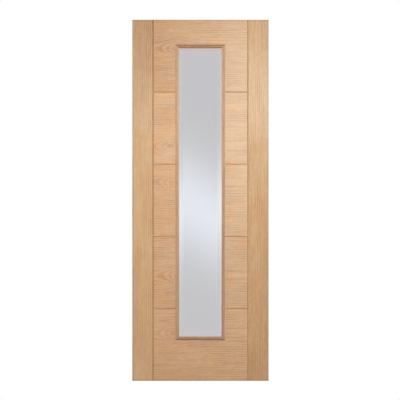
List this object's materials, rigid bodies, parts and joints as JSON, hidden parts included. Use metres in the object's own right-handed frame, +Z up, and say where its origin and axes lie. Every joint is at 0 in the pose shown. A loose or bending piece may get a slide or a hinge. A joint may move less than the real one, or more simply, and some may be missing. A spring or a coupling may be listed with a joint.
{
  "type": "glazed door",
  "caption": "Flush interior door leaf in oak veneer, V-grooved into stiles and level-grained panels, with a tall narrow bevelled pane in mitred beads.",
  "frame": {"origin": "on the flat face of the hinge edge, at half the leaf's thickness and at its foot", "axes": "+X from the hinge edge to the lock edge, +Y from the front face to the back face, +Z up"},
  "size_m": [0.77, 0.045, 2.04],
  "materials": {
    "oak_veneer_upright": "satin lacquered crown-cut oak veneer, grain upright",
    "oak_veneer_level": "satin lacquered crown-cut oak veneer, grain level",
    "solid_oak": "satin lacquered solid oak",
    "core_timber": "matte sawn softwood",
    "clear_glass": "polished clear toughened glass with a bevelled border",
    "glazing_seal": "matte brown rubber"
  },
  "bodies": {
    "root": {"hinge_edge_lipping": "solid_oak", "lock_edge_lipping": "solid_oak", "hinge_stile_core": "core_timber", "lock_stile_core": "core_timber", "top_rail_core": "core_timber", "bottom_rail_core": "core_timber", "hinge_side_core": "core_timber", "lock_side_core": "core_timber", "glass_pane": "clear_glass", "front_glazing_seal": "glazing_seal", "back_glazing_seal": "glazing_seal", "front_hinge_stile_facing": "oak_veneer_upright", "front_lock_stile_facing": "oak_veneer_upright", "front_bottom_panel_facing": "oak_veneer_level", "front_top_panel_facing": "oak_veneer_level", "front_hinge_panel_facing_2": "oak_veneer_level", "front_lock_panel_facing_2": "oak_veneer_level", "front_hinge_panel_facing_3": "oak_veneer_level", "front_lock_panel_facing_3": "oak_veneer_level", "front_hinge_panel_facing_4": "oak_veneer_level", "front_lock_panel_facing_4": "oak_veneer_level", "front_bottom_bead": "solid_oak", "front_top_bead": "solid_oak", "front_hinge_side_bead": "solid_oak", "front_lock_side_bead": "solid_oak", "back_hinge_stile_facing": "oak_veneer_upright", "back_lock_stile_facing": "oak_veneer_upright", "back_bottom_panel_facing": "oak_veneer_level", "back_top_panel_facing": "oak_veneer_level", "back_hinge_panel_facing_2": "oak_veneer_level", "back_lock_panel_facing_2": "oak_veneer_level", "back_hinge_panel_facing_3": "oak_veneer_level", "back_lock_panel_facing_3": "oak_veneer_level", "back_hinge_panel_facing_4": "oak_veneer_level", "back_lock_panel_facing_4": "oak_veneer_level", "back_bottom_bead": "solid_oak", "back_top_bead": "solid_oak", "back_hinge_side_bead": "solid_oak", "back_lock_side_bead": "solid_oak"}
  },
  "joints": []
}
